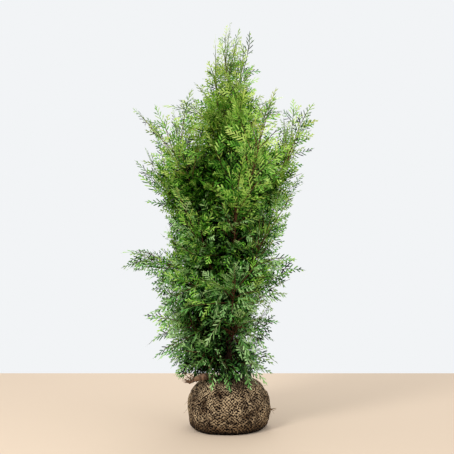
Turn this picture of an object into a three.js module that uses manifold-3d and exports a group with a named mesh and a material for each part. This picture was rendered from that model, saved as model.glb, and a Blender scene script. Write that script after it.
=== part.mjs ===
// A thuja lifted from the nursery field, standing on its root ball wrapped in hessian.
// Millimetres and degrees, +Z up. The origin is the middle of the ball's flat foot.
import * as THREE from 'three';
import { mergeVertices } from 'three/addons/utils/BufferGeometryUtils.js';
import Module from 'manifold-3d';

const wasm = await Module();
wasm.setup();

// Root ball: a slack round parcel, widest low down, with a flat foot and a flat seat for the trunk
const BALL_WIDTH = 386;
const BALL_HEIGHT = 236;
const BALL_FOOT = 322;
const BALL_BELLY = 92;
const BALL_SEAT = 84;
const BALL_FULLNESS = 0.72;
const BALL_LUMP = 0.022;
const BALL_SIDES = 30;
const BELLY_ROWS = 4;
const SHOULDER_ROWS = 7;

// Knot: the hessian's twisted corners, drawn out over the left shoulder of the ball
const KNOT_LINE = [[-64, -58, 238], [-128, -74, 262], [-178, -66, 214]];
const KNOT_TAILS = [[-203, -88, 200], [-200, -52, 188]];
const KNOT_RADIUS = 15;
const KNOT_FOLDS = 5;
const KNOT_FOLD_DEPTH = 0.16;
const KNOT_TWIST = 200;
const KNOT_END_SHARE = 0.62;
const KNOT_STEPS = 6;
const TAIL_SIDES = 5;
const TAIL_RADIUS = 8;
const TAIL_TIP_RADIUS = 1.5;
const TAIL_START = 0.86;

// Trunk: from the seat on the ball to the foot of the leading shoot
const TRUNK_FOOT_RADIUS = 17;
const TRUNK_TIP_RADIUS = 4;
const TRUNK_TOP = 1600;
const TRUNK_LEAN = 12;
const TRUNK_SWAY = 9;
const FLARE = 9;
const FLARE_HEIGHT = 30;
const TRUNK_SIDES = 8;
const TRUNK_STEPS = 12;
const TRUNK_STEP_GROWTH = 1.5;

// Clearances between one solid and the next
const SEAT_GAP = 0.3;
const CUT_GAP = 0.4;
const SPACE_GAP = 5;
const LIMB_GAP = 3;

// Tiers of limbs up the trunk. A limb leaves the trunk at `leave`, and its stem ends `reach` out and
// `rise` up from there. `turn` is the first limb's heading, `arch` how much a limb turns up on the way,
// `left` how much longer the limbs on the left are, `bough` the share that is bare wood, `lift` how
// strongly the sprays turn up, and `spray` the length of one.
const TIERS = [
  { name: 'skirt', count: 4, turn: 55, leave: 320, reach: 115, rise: 10,
    arch: 0, left: 0.1, bough: 0, lift: -0.3, spray: 190 },
  { name: 'low', count: 4, turn: 20, leave: 390, reach: 165, rise: 100,
    arch: 0.1, left: 0.16, bough: 0.25, lift: 0, spray: 195 },
  { name: 'middle', count: 4, turn: 180, leave: 520, reach: 180, rise: 130,
    arch: 0.2, left: 0.12, bough: 0.25, lift: 0.1, spray: 210 },
  { name: 'waist', count: 4, turn: 40, leave: 655, reach: 180, rise: 195,
    arch: 0.35, left: 0, bough: 0.25, lift: 0.2, spray: 215 },
  { name: 'upper', count: 4, turn: 180, leave: 795, reach: 240, rise: 270,
    arch: 0.45, left: 0.2, bough: 0.25, lift: 0.35, spray: 220 },
  { name: 'shoulder', count: 5, turn: 0, leave: 960, reach: 312, rise: 350,
    arch: 0.4, left: 0, bough: 0.25, lift: 0.4, spray: 225 },
  { name: 'neck', count: 4, turn: 35, leave: 1190, reach: 65, rise: 390,
    arch: 0.4, left: 0, bough: 0, lift: 0.3, spray: 210 },
];
// The long arm on the left is the first limb of its tier: slim, and level towards its end
const ARM = { reach: 290, rise: 205, arch: -0.6, spray: 150 };
const ARM_TIER = 'middle';
const LEADER = { name: 'leader', reach: 25, rise: 130, arch: 0.4, bough: 0, lift: 0.3, spray: 190 };
const LIMB_RADIUS = 5.6;
const STEM_RADIUS = 4.6;
const STEM_TIP_RADIUS = 2.6;
const BOUGH_SIDES = 5;
const STEM_SIDES = 4;
const LIMB_STEPS = 3;
const STEM_OVERSHOOT = 0.6;
const TURN_JITTER = 16;
const LEAVE_JITTER = 44;
const REACH_JITTER = 0.16;
const LINE_STEPS = 5;
const TANGENT_STEP = 0.01;
const CROWN_SEED = 3;

// Sprays of one mass. Lengths and widths are shares of the spray's length unless said.
const SPRAY_PLACES = 7;
const SPRAY_APART = 50;
const TURN_TRIES = 6;
const LENGTH_TRIES = [1, 0.86, 0.74, 0.62, 0.5];
const GOLDEN_TURN = 137.5;
const SPRAY_SPREAD = 36;
const SPREAD_JITTER = 16;
const ROLL_JITTER = 60;
const LENGTH_JITTER = 0.2;
const SPRAY_WIDTH = 0.62;
const SPRAY_DROOP = 0.06;
const SPRAY_HOLLOW = 0.12;
const LONG_TEETH = 5;
const SHORT_TEETH = 4;
const SHORT_SPRAY = 225;
const TWIG_SHARE = 0.16;
const TWIG_RADIUS = 1.8;
const RIB_HALF_WIDTH = 0.016;
const RIB_SWELL = 0.03;
const RIB_THICK = 0.0095;
const RIB_TIP_THICK = 0.0075;
const TOOTH_FORWARD = 0.8;
const TOOTH_OUTLINE_FROM = 0.24;
const TOOTH_OUTLINE_TO = 0.9;
const TOOTH_STAGGER = 0.4;

const UP = new THREE.Vector3(0, 0, 1);
const radians = THREE.MathUtils.degToRad;

// Seeded numbers from 0 to 1, by Park and Miller's rule
function seededNumbers(seed) {
  let state = seed * 7919 + 1;
  return () => {
    state = (state * 16807) % 2147483647;
    return state / 2147483647;
  };
}

function heading(degrees) {
  return new THREE.Vector3(Math.cos(radians(degrees)), Math.sin(radians(degrees)), 0);
}

// Solids from closed meshes, and back
function solidOf(geometry) {
  const bare = new THREE.BufferGeometry().setAttribute('position', geometry.getAttribute('position'));
  bare.setIndex(geometry.getIndex());
  const merged = mergeVertices(bare, 1e-3);
  return new wasm.Manifold(new wasm.Mesh({
    numProp: 3,
    vertProperties: new Float32Array(merged.getAttribute('position').array),
    triVerts: new Uint32Array(merged.getIndex().array),
  }));
}

function geometryOf(solid) {
  const mesh = solid.getMesh();
  const geometry = new THREE.BufferGeometry();
  geometry.setAttribute('position', new THREE.BufferAttribute(mesh.vertProperties, 3));
  geometry.setIndex(new THREE.BufferAttribute(mesh.triVerts, 1));
  geometry.computeVertexNormals();
  return geometry;
}

// The largest body of a solid: a scrap that a cut leaves, or the skin of a sealed hollow, is dropped
function mainBody(solid) {
  return solid.decompose().reduce((best, body) => (body.volume() > best.volume() ? body : best));
}

// Two directions square to a direction
function squareTo(along) {
  const reference = Math.abs(along.z) > 0.9 ? heading(0) : UP;
  const across = new THREE.Vector3().crossVectors(reference, along).normalize();
  return [across, new THREE.Vector3().crossVectors(along, across)];
}

// A limb along a path, its radius given at each share of the way and, where it is folded, at each turn
function limbGeometry(pathAt, radiusAt, sides, steps) {
  const geometry = new THREE.CylinderGeometry(1, 1, 1, sides, steps);
  const position = geometry.getAttribute('position');
  for (let i = 0; i < position.count; i += 1) {
    const [x, y, z] = [position.getX(i), position.getY(i), position.getZ(i)];
    const share = y + 0.5;
    const behind = pathAt(Math.max(share - TANGENT_STEP, 0));
    const ahead = pathAt(Math.min(share + TANGENT_STEP, 1));
    const along = ahead.sub(behind).normalize();
    const [across, over] = squareTo(along);
    const radius = radiusAt(share, Math.atan2(z, x));
    const point = pathAt(share).addScaledVector(across, z * radius).addScaledVector(over, x * radius);
    position.setXYZ(i, point.x, point.y, point.z);
  }
  return geometry;
}

// Trunk
function trunkPoint(height) {
  const share = (height - BALL_HEIGHT) / (TRUNK_TOP - BALL_HEIGHT);
  const wave = 2 * Math.PI * share;
  return new THREE.Vector3(
    TRUNK_LEAN * share + TRUNK_SWAY * Math.sin(wave),
    TRUNK_SWAY * (1 - Math.cos(wave)) / 2,
    height,
  );
}

function trunkRadius(height) {
  const share = (height - BALL_HEIGHT) / (TRUNK_TOP - BALL_HEIGHT);
  const flare = FLARE * Math.exp(-(height - BALL_HEIGHT) / FLARE_HEIGHT);
  return THREE.MathUtils.lerp(TRUNK_FOOT_RADIUS, TRUNK_TIP_RADIUS, share) + flare;
}

// Level sections, so that the foot is a flat cut
function trunkSolid(extra) {
  const geometry = new THREE.CylinderGeometry(1, 1, 1, TRUNK_SIDES, TRUNK_STEPS);
  const position = geometry.getAttribute('position');
  const foot = BALL_HEIGHT + SEAT_GAP - extra;
  for (let i = 0; i < position.count; i += 1) {
    const height = THREE.MathUtils.lerp(foot, TRUNK_TOP + extra, (position.getY(i) + 0.5) ** TRUNK_STEP_GROWTH);
    const radius = trunkRadius(height) + extra;
    const centre = trunkPoint(height);
    position.setXYZ(i, centre.x + position.getZ(i) * radius, centre.y + position.getX(i) * radius, height);
  }
  return solidOf(geometry);
}

// Limbs
function pointsAlong(curve, from, to) {
  const shares = Array.from({ length: LINE_STEPS + 1 }, (_, i) => from + ((to - from) * i) / LINE_STEPS);
  return shares.map((share) => curve.getPoint(share));
}

// A limb's curve runs from the trunk's centre: first the bare bough, then the stem that bears sprays
function makeLimb(kind, name, root, out, size) {
  const [reach, rise, spray] = [kind.reach * size, kind.rise * size, kind.spray * size];
  const bend = root.clone()
    .addScaledVector(out, (reach * (1 + kind.arch)) / 2)
    .addScaledVector(UP, (rise * (1 - kind.arch)) / 2);
  const end = root.clone().addScaledVector(out, reach).addScaledVector(UP, rise);
  const curve = new THREE.QuadraticBezierCurve3(root, bend, end);
  const stem = pointsAlong(curve, kind.bough, 1);
  stem.push(end.clone().addScaledVector(curve.getTangent(1), spray * STEM_OVERSHOOT));
  const wood = pointsAlong(curve, 0, kind.bough);
  return { name, out, spray, curve, stem, wood, bough: kind.bough, lift: kind.lift };
}

function makeLimbs() {
  const next = seededNumbers(CROWN_SEED);
  const made = [];
  for (const tier of TIERS) {
    for (let number = 0; number < tier.count; number += 1) {
      const kind = tier.name === ARM_TIER && number === 0 ? { ...tier, ...ARM } : tier;
      const turn = tier.turn + (number * 360) / tier.count + (next() - 0.5) * TURN_JITTER;
      const root = trunkPoint(tier.leave + (next() - 0.5) * LEAVE_JITTER);
      const size = 1 + (next() - 0.5) * REACH_JITTER - tier.left * Math.cos(radians(turn));
      const name = `${tier.name}_${number + 1}`;
      made.push(makeLimb(kind, name, root, heading(turn), size));
    }
  }
  made.push(makeLimb(LEADER, LEADER.name, trunkPoint(TRUNK_TOP), heading(180), 1));
  return made;
}

const limbs = makeLimbs();

// Each mass keeps to the space that is nearer to its own limb than to any other, clear of the wood
function distanceToLine(point, line) {
  let best = Infinity;
  const leg = new THREE.Vector3();
  const offset = new THREE.Vector3();
  for (let i = 1; i < line.length; i += 1) {
    leg.subVectors(line[i], line[i - 1]);
    offset.subVectors(point, line[i - 1]);
    const share = THREE.MathUtils.clamp(offset.dot(leg) / leg.lengthSq(), 0, 1);
    best = Math.min(best, offset.addScaledVector(leg, -share).length());
  }
  return best;
}

function clearOfTrunk(point) {
  if (point.z > TRUNK_TOP + TRUNK_TIP_RADIUS) return true;
  const height = THREE.MathUtils.clamp(point.z, BALL_HEIGHT, TRUNK_TOP);
  const centre = trunkPoint(height);
  return Math.hypot(point.x - centre.x, point.y - centre.y) > trunkRadius(height) + LIMB_GAP;
}

function ballHeightAt(out) {
  const seat = BALL_SEAT / 2;
  const rim = (BALL_WIDTH / 2) * (1 + 2 * BALL_LUMP);
  if (out >= rim) return 0;
  const cosine = Math.max(0, (out - seat) / (rim - seat)) ** (1 / BALL_FULLNESS);
  return BALL_BELLY + (BALL_HEIGHT - BALL_BELLY) * Math.sqrt(1 - cosine ** 2);
}

function clearOfBall(point) {
  return point.z > ballHeightAt(Math.hypot(point.x, point.y)) + LIMB_GAP;
}

function clearOfBoughs(point) {
  return limbs.every((limb) => !limb.bough || distanceToLine(point, limb.wood) > LIMB_RADIUS + LIMB_GAP);
}

function inOwnSpace(point, limb) {
  if (!clearOfTrunk(point) || !clearOfBall(point) || !clearOfBoughs(point)) return false;
  const own = distanceToLine(point, limb.stem);
  return limbs.every((other) => other === limb || distanceToLine(point, other.stem) > own + SPACE_GAP);
}

// A spray: a three-sided twig that runs on as the rib of a thin blade with forward teeth on both sides
function sprayPoints({ start, along, face, length }) {
  const teeth = length < SHORT_SPRAY ? SHORT_TEETH : LONG_TEETH;
  const side = new THREE.Vector3().crossVectors(face, along);
  const twig = length * TWIG_SHARE;
  const pitch = (length - twig) / (teeth + 1);
  const place = (x, y, z) => start.clone()
    .addScaledVector(along, x)
    .addScaledVector(side, y)
    .addScaledVector(face, z - SPRAY_DROOP * length * (x / length) ** 2 - SPRAY_HOLLOW * Math.abs(y));
  const section = (x, half, thick) => [
    place(x, 0, thick),
    place(x, half, -thick / 2),
    place(x, -half, -thick / 2),
  ];
  const points = section(0, TWIG_RADIUS, TWIG_RADIUS);
  for (let i = 0; i <= teeth; i += 1) {
    const half = length * (RIB_HALF_WIDTH + RIB_SWELL * Math.sin((Math.PI * i) / (teeth + 1)));
    const thick = length * THREE.MathUtils.lerp(RIB_THICK, RIB_TIP_THICK, i / teeth);
    points.push(...section(twig + i * pitch, half, thick));
  }
  for (let i = 1; i <= teeth; i += 1) {
    const x = twig + (i + TOOTH_FORWARD) * pitch;
    const outline = THREE.MathUtils.lerp(TOOTH_OUTLINE_FROM, TOOTH_OUTLINE_TO, (i - 0.5) / teeth);
    const reach = (length * SPRAY_WIDTH * Math.sin(Math.PI * outline)) / 2;
    points.push(place(x, reach, 0), place(x - TOOTH_STAGGER * pitch, -reach, 0));
  }
  points.push(place(length, 0, 0));
  return points;
}

function sprayGeometry(spray) {
  const points = sprayPoints(spray);
  const teeth = (points.length - 7) / 5;
  const tip = points.length - 1;
  const index = [0, 1, 2];
  for (let i = 0; i <= teeth; i += 1) {
    const [rib0, left0, right0] = [3 * i, 3 * i + 1, 3 * i + 2];
    const [rib, left, right] = [3 * i + 3, 3 * i + 4, 3 * i + 5];
    index.push(rib0, rib, left, rib0, right, rib, left0, left, right, left0, right, right0);
    if (i === 0) {
      index.push(rib0, left, left0, rib0, right0, right);
      continue;
    }
    const leftTooth = 3 * (teeth + 2) + 2 * (i - 1);
    const rightTooth = leftTooth + 1;
    index.push(rib0, left, leftTooth, rib0, leftTooth, left0, left0, leftTooth, left);
    index.push(rib0, rightTooth, right, rib0, right0, rightTooth, right0, right, rightTooth);
  }
  const [rib, left, right] = [3 * teeth + 3, 3 * teeth + 4, 3 * teeth + 5];
  index.push(rib, tip, left, rib, right, tip, left, tip, right);
  const geometry = new THREE.BufferGeometry().setFromPoints(points);
  geometry.setIndex(index);
  return geometry;
}

// A direction turned away from another by `spread`, at `turn` round it, and lifted
function branchOff(along, spread, turn, lift) {
  const [across, over] = squareTo(along);
  const aside = across.multiplyScalar(Math.cos(radians(turn))).addScaledVector(over, Math.sin(radians(turn)));
  return along.clone().multiplyScalar(Math.cos(radians(spread)))
    .addScaledVector(aside, Math.sin(radians(spread)))
    .addScaledVector(UP, lift)
    .normalize();
}

function makeSpray(start, along, stemAlong, roll, length) {
  const edge = new THREE.Vector3().crossVectors(stemAlong, along).normalize();
  const over = new THREE.Vector3().crossVectors(along, edge);
  const face = over.multiplyScalar(Math.cos(radians(roll))).addScaledVector(edge, Math.sin(radians(roll)));
  return { start, along, face, length };
}

function axisPoints({ start, along, length }) {
  return [0.4, 0.7, 1].map((share) => start.clone().addScaledVector(along, share * length));
}

function crowded(spray, others) {
  const points = axisPoints(spray);
  return others.some((other) => axisPoints(other)
    .some((near) => points.some((point) => point.distanceTo(near) < SPRAY_APART)));
}

// The longest of the allowed lengths at which a spray stays in its mass's own space, or none
function fitSpray(spray, limb, others) {
  for (const size of LENGTH_TRIES) {
    const tried = { ...spray, length: spray.length * size };
    if (crowded(tried, others)) continue;
    if (sprayPoints(tried).every((point) => inOwnSpace(point, limb))) return tried;
  }
  return null;
}

function trySpray(limb, share, turn, next) {
  const tangent = limb.curve.getTangent(share);
  const spread = SPRAY_SPREAD + (next() - 0.5) * SPREAD_JITTER;
  const along = branchOff(tangent, spread, turn, limb.lift);
  const roll = (next() - 0.5) * ROLL_JITTER;
  const length = limb.spray * (1 + (next() - 0.5) * LENGTH_JITTER);
  return makeSpray(limb.curve.getPoint(share), along, tangent, roll, length);
}

// The sprays of one mass, by a seeded rule: one ends the stem, edge up, and then at each place down the
// stem the longest that fits is kept. A place where none fits stays bare.
function growSprays(limb, number) {
  const next = seededNumbers(100 + number);
  const endRoll = 90 + (next() - 0.5) * ROLL_JITTER;
  const end = makeSpray(limb.curve.getPoint(1), limb.curve.getTangent(1), limb.out, endRoll, limb.spray);
  const sprays = [fitSpray(end, limb, [])].filter((spray) => spray);
  let turn = next() * 360;
  for (let place = SPRAY_PLACES - 1; place >= 0; place -= 1) {
    const share = limb.bough + (1 - limb.bough) * ((place + 0.4) / SPRAY_PLACES);
    const fitted = [];
    for (let i = 0; i < TURN_TRIES; i += 1) {
      const spray = fitSpray(trySpray(limb, share, turn, next), limb, sprays);
      if (spray) fitted.push(spray);
      turn += GOLDEN_TURN;
    }
    fitted.sort((a, b) => b.length - a.length);
    sprays.push(...fitted.slice(0, 1));
  }
  return sprays;
}

// Wood of a limb between two shares of its way
function limbSolid(limb, from, to, radiusFrom, radiusTo, sides) {
  return solidOf(limbGeometry(
    (share) => limb.curve.getPoint(THREE.MathUtils.lerp(from, to, share)),
    (share) => THREE.MathUtils.lerp(radiusFrom, radiusTo, share),
    sides,
    LIMB_STEPS,
  ));
}

function boughSolid(limb, trunkCut) {
  return mainBody(limbSolid(limb, 0, limb.bough, LIMB_RADIUS, STEM_RADIUS, BOUGH_SIDES).subtract(trunkCut));
}

// A foliage mass: the stem starts just off its bough's end, or off the trunk where there is no bough
function massSolid(limb, number, trunkCut) {
  const from = limb.bough ? limb.bough + SEAT_GAP / limb.curve.getLength() : 0;
  let solid = limbSolid(limb, from, 1, STEM_RADIUS, STEM_TIP_RADIUS, STEM_SIDES);
  if (!limb.bough) solid = solid.subtract(trunkCut);
  for (const spray of growSprays(limb, number)) solid = solid.add(solidOf(sprayGeometry(spray)));
  return mainBody(solid);
}

// Root ball
function ballProfile() {
  const rim = BALL_WIDTH / 2;
  const foot = BALL_FOOT / 2;
  const seat = BALL_SEAT / 2;
  const points = [new THREE.Vector2(0, 0), new THREE.Vector2(foot, 0)];
  for (let row = 1; row <= BELLY_ROWS; row += 1) {
    const angle = (row / BELLY_ROWS) * (Math.PI / 2);
    points.push(new THREE.Vector2(foot + (rim - foot) * Math.sin(angle), BALL_BELLY * (1 - Math.cos(angle))));
  }
  for (let row = 1; row <= SHOULDER_ROWS; row += 1) {
    const angle = (row / SHOULDER_ROWS) * (Math.PI / 2);
    const radius = row < SHOULDER_ROWS ? seat + (rim - seat) * Math.cos(angle) ** BALL_FULLNESS : seat;
    points.push(new THREE.Vector2(radius, BALL_BELLY + (BALL_HEIGHT - BALL_BELLY) * Math.sin(angle)));
  }
  points.push(new THREE.Vector2(0, BALL_HEIGHT));
  return points;
}

// Slack lumps of soil round the ball, as a share of its radius
function lump(turn, height) {
  const lobes = Math.sin(3 * turn + 0.9) + 0.7 * Math.sin(5 * turn + height / 45);
  return BALL_LUMP * (lobes + 0.4 * Math.sin(8 * turn - height / 30));
}

function ballSolid(extra) {
  const geometry = new THREE.LatheGeometry(ballProfile(), BALL_SIDES);
  geometry.rotateX(Math.PI / 2);
  const position = geometry.getAttribute('position');
  const grown = 1 + extra / (BALL_WIDTH / 2);
  for (let i = 0; i < position.count; i += 1) {
    const [x, y, z] = [position.getX(i), position.getY(i), position.getZ(i)];
    const flat = z > BALL_HEIGHT - 1;
    const size = grown * (flat ? 1 : 1 + lump(Math.atan2(y, x), z));
    position.setXYZ(i, x * size, y * size, z + (extra * z) / BALL_HEIGHT);
  }
  return solidOf(geometry);
}

// Knot: a folded, twisted bunch with two pointed tails, its underside shaped to the ball
function knotSolid() {
  const curve = new THREE.QuadraticBezierCurve3(...KNOT_LINE.map((place) => new THREE.Vector3(...place)));
  const swell = (share) => KNOT_RADIUS * THREE.MathUtils.lerp(KNOT_END_SHARE, 1, Math.sin(Math.PI * share));
  const fold = (share, turn) => Math.sin(KNOT_FOLDS * turn + radians(KNOT_TWIST) * share);
  const bunchRadius = (share, turn) => swell(share) * (1 + KNOT_FOLD_DEPTH * fold(share, turn));
  const sides = 2 * KNOT_FOLDS + 1;
  let solid = solidOf(limbGeometry((share) => curve.getPoint(share), bunchRadius, sides, KNOT_STEPS));
  for (const place of KNOT_TAILS) {
    const line = new THREE.LineCurve3(curve.getPoint(TAIL_START), new THREE.Vector3(...place));
    const tailRadius = (share) => THREE.MathUtils.lerp(TAIL_RADIUS, TAIL_TIP_RADIUS, share);
    solid = solid.add(solidOf(limbGeometry((share) => line.getPoint(share), tailRadius, TAIL_SIDES, 1)));
  }
  return mainBody(solid.subtract(ballSolid(CUT_GAP)));
}

// Assembly: each part is a mesh of its own, with its own material
const HESSIAN = { color: '#7d6a52', roughness: 0.95, metalness: 0 };
const BARK = { color: '#6b4a35', roughness: 0.85, metalness: 0 };
const LEAF = { color: '#5d8a2c', roughness: 0.6, metalness: 0 };
const thuja = new THREE.Group();

function addPart(name, solid, look) {
  const mesh = new THREE.Mesh(geometryOf(solid), new THREE.MeshStandardMaterial(look));
  mesh.name = name;
  thuja.add(mesh);
}

const trunkCut = trunkSolid(CUT_GAP);
addPart('root_ball', ballSolid(0), HESSIAN);
addPart('hessian_knot', knotSolid(), HESSIAN);
addPart('trunk', trunkSolid(0), BARK);
limbs.forEach((limb, number) => {
  if (limb.bough) addPart(`bough_${limb.name}`, boughSolid(limb, trunkCut), BARK);
  addPart(`foliage_${limb.name}`, massSolid(limb, number, trunkCut), LEAF);
});

export default thuja;
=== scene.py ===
import math
from collections import namedtuple

import bpy
import numpy as np
from bpy.props import FloatProperty, FloatVectorProperty, IntProperty, PointerProperty
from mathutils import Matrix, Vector


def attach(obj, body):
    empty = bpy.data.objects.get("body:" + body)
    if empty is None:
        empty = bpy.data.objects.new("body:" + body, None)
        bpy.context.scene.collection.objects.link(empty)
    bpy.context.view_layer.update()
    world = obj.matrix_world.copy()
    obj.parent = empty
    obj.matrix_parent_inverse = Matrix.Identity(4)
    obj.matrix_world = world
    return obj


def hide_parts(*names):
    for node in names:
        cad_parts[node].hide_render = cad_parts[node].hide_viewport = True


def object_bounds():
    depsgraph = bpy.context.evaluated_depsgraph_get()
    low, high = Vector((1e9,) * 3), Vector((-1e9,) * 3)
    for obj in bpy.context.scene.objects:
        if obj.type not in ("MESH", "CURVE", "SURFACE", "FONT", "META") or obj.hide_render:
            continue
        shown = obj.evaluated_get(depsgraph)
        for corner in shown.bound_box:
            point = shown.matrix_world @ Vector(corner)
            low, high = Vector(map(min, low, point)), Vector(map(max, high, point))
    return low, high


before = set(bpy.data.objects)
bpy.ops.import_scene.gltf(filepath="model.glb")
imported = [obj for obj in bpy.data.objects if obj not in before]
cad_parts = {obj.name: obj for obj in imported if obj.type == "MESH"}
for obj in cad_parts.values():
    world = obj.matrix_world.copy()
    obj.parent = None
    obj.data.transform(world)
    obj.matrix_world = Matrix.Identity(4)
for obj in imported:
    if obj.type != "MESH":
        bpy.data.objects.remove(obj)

bl_info = {
    "name": "Root-balled thuja",
    "version": (1, 0, 0),
    "blender": (4, 5, 0),
    "location": "3D View > Sidebar > Thuja",
    "description": "Dresses a thuja on a hessian root ball with bark, twigs and leaf sprays",
    "category": "Object",
}

# Lengths are in millimetres and angles in degrees, unless a comment says otherwise
CAD_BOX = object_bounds()
MM = 0.001
CAD_BOX_MM = [np.array(corner) / MM for corner in CAD_BOX]
UP = np.array([0.0, 0.0, 1.0])
AHEAD = np.array([1.0, 0.0, 0.0])

# Root ball, as the solid has it
BALL_FOOT, BALL_SEAT, BALL_BELLY = 322, 84, 92
BALL_FULLNESS, BALL_LUMP = 0.72, 0.022
# Lobes round it: how many, start in radians, height for a radian's turn, and share
BALL_LOBES = ((3, 0.9, math.inf, 1), (5, 0, 45, 0.7), (8, 0, -30, 0.4))
BALL_ROWS, BALL_SIDES = 150, 480
# Lumps of soil: how far they stand out, size and seed
SOIL_LUMPS = ((2.2, 70, 11), (1.1, 28, 12))
FOLDS, FOLD_DEPTH, FOLD_FOOT = 9, 4, 110
# Creases where the cloth is drawn in: which way each faces, height of its middle and half its length
CREASES = (
    (259, 76, 36), (221, 120, 40), (296, 128, 44), (243, 150, 30),
    (15, 95, 45), (70, 120, 50), (120, 80, 40), (165, 125, 45))
CREASE_DEPTH, CREASE_WIDTH = 7, 6
SAG_HEIGHT, SEAT_RISE = 12, 3

# Knot: its line, its tails with the threads of each, and its strands
KNOT_LINE = ((-64, -58, 238), (-128, -74, 262), (-178, -66, 214))
KNOT_TAILS = ((-206, -88, 238, 7), (-196, -60, 218, 6), (-216, -70, 264, 2))
KNOT_STRANDS, KNOT_RADIUS, KNOT_TURNS = 5, 15, 1.5
KNOT_STEPS, KNOT_SIDES = 70, 14
TAIL_SPREAD, TAIL_CURL = 24, 34
# Loose threads stand out of the wrap all round, and every seventh in a tuft on the right
LOOSE_THREADS, TUFT_EVERY, TUFT = 70, 7, (195, -20, 86)
# The mix node's places for its two colours and its result
MIX_FIRST, MIX_SECOND, MIX_RESULT = 6, 7, 2

# Trunk
TRUNK_FOOT_RADIUS, TRUNK_TIP_RADIUS, TRUNK_TOP = 17, 4, 1600
TRUNK_LEAN, TRUNK_SWAY = 12, 9
FLARE, FLARE_HEIGHT, SEAT_GAP = 9, 30, 0.3
TRUNK_STEPS, TRUNK_SIDES = 320, 48
# Relief of the bark, as shares of the radius
TRUNK_RIDGE, TRUNK_SWELL, BOUGH_RIDGE = 0.05, 0.02, 0.07

# Limbs of the crown, tier by tier, as the solids have them: name, count, turn, leave, reach, rise, arch,
# left, bough, lift, spray
TIERS = (
    ("skirt", 4, 55, 320, 115, 10, 0, 0.1, 0, -0.3, 190),
    ("low", 4, 20, 390, 165, 100, 0.1, 0.16, 0.25, 0, 195),
    ("middle", 4, 180, 520, 180, 130, 0.2, 0.12, 0.25, 0.1, 210),
    ("waist", 4, 40, 655, 180, 195, 0.35, 0, 0.25, 0.2, 215),
    ("upper", 4, 180, 795, 240, 270, 0.45, 0.2, 0.25, 0.35, 220),
    ("shoulder", 5, 0, 960, 312, 350, 0.4, 0, 0.25, 0.4, 225),
    ("neck", 4, 35, 1190, 65, 390, 0.4, 0, 0, 0.3, 210),
)
TURN_JITTER, LEAVE_JITTER, REACH_JITTER = 16, 44, 0.16
# The long arm on the left: its place among the limbs, and its reach, rise, arch and spray
ARM_NUMBER = 8
ARM = (290, 205, -0.6, 150)
ARM_LIFT, ARM_SPRAY = 0.2, 1.25
# Where its sprays may leave the outline: lowest height, climb to the left, top and half depth
ARM_BAND = (560, 0.36, 835, 90)
LEADER = ("leader", 25, 130, 0.4, 0, 0.3, 190)
LIMB_RADIUS, STEM_RADIUS, STEM_TIP_RADIUS = 5.6, 4.6, 1.6
BOUGH_STEPS, BOUGH_SIDES = 24, 14

# Branches: the bare share of a bough, how far they spread at its tip, and how much more at its foot
BARE_BOUGH = 0.6
TIP_SPREAD, LEADER_SPREAD, BOUGH_SPREAD, CLOSE_SPREAD = 12, 30, 60, 68
GOLDEN_TURN, SPREAD_JITTER, ROLL_JITTER = 137.5, 36, 120
# They bend up with the limb's lift, down by their weight, aside, and in their own plane
BEND_UP, BEND_DOWN, BEND_ASIDE, BEND_OVER = 0.5, 0.16, 0.4, 0.3
LENGTH_TRIES = (1, 0.85, 0.7, 0.55, 0.42)
LEAST_LENGTH, LIMB_GAP = 60, 3
# Long shoots are longer, end nearer to their outline, and grow on where it leaves them room
LONG_LENGTH, LONG_DEPTH, GROW_ON = 1.4, 5, 1.12
# Other branches end up to so deep inside their outline, by heights and shares of it
RAGGED_DEPTH = 60
RAGGED_SHARES = ((600, 750, 1450, 1600), (1.5, 1, 1, 0.3))
# Branches that end less deep than this take their place first
FIRST_DEPTH = 150
# How much further apart branches stand where the crown is open, and the share of it at the top and arm
OPEN_APART = 1.5
TOP_HEIGHT, TOP_CLOSER, ARM_CLOSER = 1680, 0.35, 0.3
# Depth at which the crown opens, and starts and lengths of its opening by height and width
OPEN_DEPTH = 70
SHOULDER_OPENS, SHOULDER_OUT, TOP_OPENS = (1200, 180), (95, 85), (1660, 120)

# How far the full crown and its longest shoots reach from the trunk at some heights, left and right
CROWN_HEIGHTS = (
    180, 300, 400, 520, 640, 730, 800, 860, 940, 1010,
    1080, 1200, 1350, 1480, 1540, 1580, 1640, 1750, 1860, 1920)
BODY_LEFT = (
    190, 318, 275, 285, 270, 258, 250, 275, 305, 318, 340, 345, 348, 335, 290, 95, 78, 58, 50, 38)
BODY_RIGHT = (
    180, 192, 112, 148, 178, 250, 250, 205, 198, 225, 265, 330, 350, 425, 400, 170, 130, 108, 80, 35)
SHOOTS_LEFT = (
    200, 345, 395, 395, 400, 400, 330, 320, 340, 375, 400, 450, 450, 475, 455, 280, 155, 105, 102, 80)
SHOOTS_RIGHT = (
    200, 275, 225, 255, 285, 385, 350, 285, 375, 285, 330, 410, 440, 475, 475, 340, 185, 140, 130, 65)
# Leaves stay above this height
CROWN_FOOT = 192
# Left bare, so that the knot shows: from, to
KNOT_WINDOW = ((-215, -260, 0), (-98, -10, 278))
# Left bare low in front of the trunk: middle and half sizes of a hollow
FRONT_HOLLOW = ((6, -170, 395), (40, 150, 95))

# Sprays that end a branch and at its sides: the longest, and their share of the branch
END_LONGEST, END_SHARE = 125, 0.62
SIDE_LONGEST, SIDE_LEAST, SIDE_SHARE = 100, 30, 0.4
SPRAY_STEP = 13
# Sprays and branchlets leave at this angle at the foot, and at so much less at the tip
SIDE_ANGLE, SIDE_ANGLE_LESS = 52, 14
SPRAY_JITTER, SPRAY_ROLL, SPRAY_TILT, SPRAY_CURL, SPRAY_DROOP = 16, 60, 0.35, 0.36, 0.1
# How far a spray arches down to both sides, as a share of its width
SPRAY_ARCH = 0.12
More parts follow.
